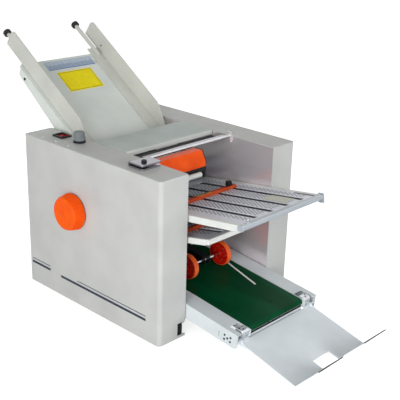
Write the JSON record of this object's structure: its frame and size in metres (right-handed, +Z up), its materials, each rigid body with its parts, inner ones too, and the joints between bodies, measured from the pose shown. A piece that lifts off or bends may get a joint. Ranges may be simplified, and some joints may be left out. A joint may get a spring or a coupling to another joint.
{
  "type": "tabletop paper folding machine",
  "caption": "Tabletop buckle paper folder with sloping feed table, fold rollers, slotted fold plates, belt conveyor and catch tray between two side covers.",
  "frame": {"origin": "centre of the footprint of the whole machine, on the surface that it stands on", "axes": "+Z up, -Y towards the operator and the catch tray, +X to the operator's right, so the hand wheel is on -X"},
  "size_m": [0.554, 1.2298, 0.6976],
  "materials": {
    "cover_grey": "fine textured powder coat",
    "table_grey": "smooth satin paint",
    "tray_grey": "smooth satin paint",
    "steel": "brushed",
    "bright_steel": "polished",
    "orange": "moulded, satin gloss",
    "wheel_red": "moulded, satin",
    "light_plastic": "moulded, satin",
    "black": "satin black",
    "rubber": "matt",
    "belt_green": "matt, finely woven",
    "maroon": "gloss",
    "knob_grey": "satin"
  },
  "bodies": {
    "chassis": {"left_cover": "cover_grey", "right_cover": "cover_grey", "left_frame": "steel", "right_frame": "steel", "left_front_foot": "rubber", "left_rear_foot": "rubber", "right_front_foot": "rubber", "right_rear_foot": "rubber", "base_pan": "steel", "tie_bar": "steel", "top_bar": "bright_steel", "lid_rod": "steel", "roller_guard": "orange", "paper_deflector": "black", "adjuster_plate": "bright_steel", "feed_belt": "rubber", "motor": "black", "drive_belt": "rubber", "feed_table": "table_grey", "upper_front_plate": "steel", "lower_front_plate": "steel", "upper_rear_plate": "steel", "lower_rear_plate": "steel", "left_conveyor_frame": "tray_grey", "right_conveyor_frame": "tray_grey", "left_bearing_block": "light_plastic", "right_bearing_block": "light_plastic", "conveyor_belt": "belt_green", "switch_frame": "black", "power_inlet": "black"},
    "fold_roller_1": {"fold_roller_1": "steel"},
    "fold_roller_2": {"fold_roller_2": "steel"},
    "fold_roller_3": {"fold_roller_3": "steel"},
    "fold_roller_4": {"fold_roller_4": "steel"},
    "fold_roller_5": {"fold_roller_5": "steel"},
    "fold_roller_6": {"fold_roller_6": "steel"},
    "hand_wheel": {"hand_wheel": "orange", "hand_wheel_shaft": "steel"},
    "feed_roller": {"feed_roller": "rubber"},
    "motor_pulley": {"motor_pulley": "steel"},
    "front_belt_roller": {"front_belt_roller": "steel"},
    "rear_belt_roller": {"rear_belt_roller": "steel"},
    "press_arm": {"press_arm": "black"},
    "press_wheels": {"left_press_wheel": "wheel_red", "right_press_wheel": "wheel_red", "press_shaft": "bright_steel"},
    "left_guide": {"left_guide": "cover_grey", "left_guide_cap": "rubber"},
    "right_guide": {"right_guide": "cover_grey", "right_guide_cap": "rubber"},
    "upper_front_stop": {"upper_front_stop": "orange"},
    "stop_lock_knob": {"stop_lock_knob": "black"},
    "lower_front_stop": {"lower_front_stop": "orange"},
    "upper_rear_stop": {"upper_rear_stop": "orange"},
    "lower_rear_stop": {"lower_rear_stop": "orange"},
    "top_lid": {"top_lid": "table_grey"},
    "catch_tray": {"catch_tray": "tray_grey"},
    "power_switch": {"power_switch": "maroon"},
    "speed_knob": {"speed_knob": "knob_grey"},
    "adjuster_screw": {"adjuster_screw": "black"}
  },
  "joints": [
    {"name": "fold_roller_1_spin", "type": "hinge", "parent": "chassis", "child": "fold_roller_1", "pos_m": [0.017, 0.0832, 0.325], "axis": [1, 0, 0], "continuous": true},
    {"name": "fold_roller_2_spin", "type": "hinge", "parent": "chassis", "child": "fold_roller_2", "pos_m": [0.017, 0.0652, 0.28705], "axis": [1, 0, 0], "continuous": true},
    {"name": "fold_roller_3_spin", "type": "hinge", "parent": "chassis", "child": "fold_roller_3", "pos_m": [0.017, 0.0832, 0.2491], "axis": [1, 0, 0], "continuous": true},
    {"name": "fold_roller_4_spin", "type": "hinge", "parent": "chassis", "child": "fold_roller_4", "pos_m": [0.017, 0.0652, 0.21116], "axis": [1, 0, 0], "continuous": true},
    {"name": "fold_roller_5_spin", "type": "hinge", "parent": "chassis", "child": "fold_roller_5", "pos_m": [0.017, 0.0832, 0.17321], "axis": [1, 0, 0], "continuous": true},
    {"name": "fold_roller_6_spin", "type": "hinge", "parent": "chassis", "child": "fold_roller_6", "pos_m": [0.017, 0.0652, 0.13526], "axis": [1, 0, 0], "continuous": true},
    {"name": "hand_wheel_spin", "type": "hinge", "parent": "chassis", "child": "hand_wheel", "pos_m": [0.017, 0.13012, 0.2832], "axis": [1, 0, 0], "continuous": true},
    {"name": "feed_roller_spin", "type": "hinge", "parent": "chassis", "child": "feed_roller", "pos_m": [0.017, 0.15489, 0.40476], "axis": [1, 0, 0], "continuous": true},
    {"name": "motor_spin", "type": "hinge", "parent": "chassis", "child": "motor_pulley", "pos_m": [0.017, 0.2642, 0.104], "axis": [1, 0, 0], "continuous": true},
    {"name": "front_belt_roller_spin", "type": "hinge", "parent": "chassis", "child": "front_belt_roller", "pos_m": [0.017, -0.3658, 0.0655], "axis": [1, 0, 0], "continuous": true},
    {"name": "rear_belt_roller_spin", "type": "hinge", "parent": "chassis", "child": "rear_belt_roller", "pos_m": [0.017, 0.01384, 0.10795], "axis": [1, 0, 0], "continuous": true},
    {"name": "press_arm_lift", "type": "hinge", "parent": "chassis", "child": "press_arm", "pos_m": [0.017, -0.02101, 0.14963], "axis": [1, 0, 0], "range_deg": [-15, 0]},
    {"name": "press_wheels_spin", "type": "hinge", "parent": "press_arm", "child": "press_wheels", "pos_m": [0.017, -0.11244, 0.13941], "axis": [1, 0, 0], "continuous": true},
    {"name": "left_guide_slide", "type": "slide", "parent": "chassis", "child": "left_guide", "axis": [1, 0, 0], "range_m": [-0.002, 0.04]},
    {"name": "right_guide_slide", "type": "slide", "parent": "chassis", "child": "right_guide", "axis": [-1, 0, 0], "range_m": [-0.002, 0.04]},
    {"name": "upper_front_stop_slide", "type": "slide", "parent": "chassis", "child": "upper_front_stop", "axis": [0, -0.9903, 0.1392], "range_m": [-0.115, 0.23]},
    {"name": "stop_lock_turn", "type": "hinge", "parent": "upper_front_stop", "child": "stop_lock_knob", "pos_m": [0.105, -0.11529, 0.3276], "axis": [0, 0.1392, 0.9903], "range_deg": [-90, 0]},
    {"name": "lower_front_stop_slide", "type": "slide", "parent": "chassis", "child": "lower_front_stop", "axis": [0, -0.979, 0.2036], "range_m": [-0.15, 0.082]},
    {"name": "upper_rear_stop_slide", "type": "slide", "parent": "chassis", "child": "upper_rear_stop", "axis": [0, 0.9659, 0.2588], "range_m": [-0.15, 0.085]},
    {"name": "lower_rear_stop_slide", "type": "slide", "parent": "chassis", "child": "lower_rear_stop", "axis": [0, 0.9848, 0.1736], "range_m": [-0.15, 0.06]},
    {"name": "lid_open", "type": "hinge", "parent": "chassis", "child": "top_lid", "pos_m": [0.017, 0.1469, 0.4445], "axis": [1, 0, 0], "range_deg": [-85, 0]},
    {"name": "catch_tray_fold", "type": "hinge", "parent": "chassis", "child": "catch_tray", "pos_m": [0.017, -0.3748, 0.047], "axis": [1, 0, 0], "range_deg": [-40, 0]},
    {"name": "power_switch_rock", "type": "hinge", "parent": "chassis", "child": "power_switch", "pos_m": [-0.181, 0.2572, 0.45], "axis": [1, 0, 0], "range_deg": [0, 10]},
    {"name": "speed_knob_turn", "type": "hinge", "parent": "chassis", "child": "speed_knob", "pos_m": [-0.181, 0.1812, 0.4523], "axis": [0, 0, 1], "range_deg": [-135, 135]},
    {"name": "adjuster_screw_turn", "type": "hinge", "parent": "chassis", "child": "adjuster_screw", "pos_m": [-0.197, -0.0938, 0.46], "axis": [0, 0, 1], "range_deg": [-180, 180]}
  ],
  "couplings": [
    {"joint": "fold_roller_2_spin", "follows": "fold_roller_1_spin", "ratio": -1},
    {"joint": "fold_roller_3_spin", "follows": "fold_roller_1_spin", "ratio": 1},
    {"joint": "fold_roller_4_spin", "follows": "fold_roller_1_spin", "ratio": -1},
    {"joint": "fold_roller_5_spin", "follows": "fold_roller_1_spin", "ratio": 1},
    {"joint": "fold_roller_6_spin", "follows": "fold_roller_1_spin", "ratio": -1},
    {"joint": "hand_wheel_spin", "follows": "fold_roller_1_spin", "ratio": -0.56757},
    {"joint": "feed_roller_spin", "follows": "fold_roller_1_spin", "ratio": 0.85714},
    {"joint": "motor_spin", "follows": "fold_roller_1_spin", "ratio": -2.3077},
    {"joint": "front_belt_roller_spin", "follows": "fold_roller_1_spin", "ratio": -1},
    {"joint": "rear_belt_roller_spin", "follows": "fold_roller_1_spin", "ratio": -1},
    {"joint": "press_wheels_spin", "follows": "fold_roller_1_spin", "ratio": 0.26761}
  ]
}
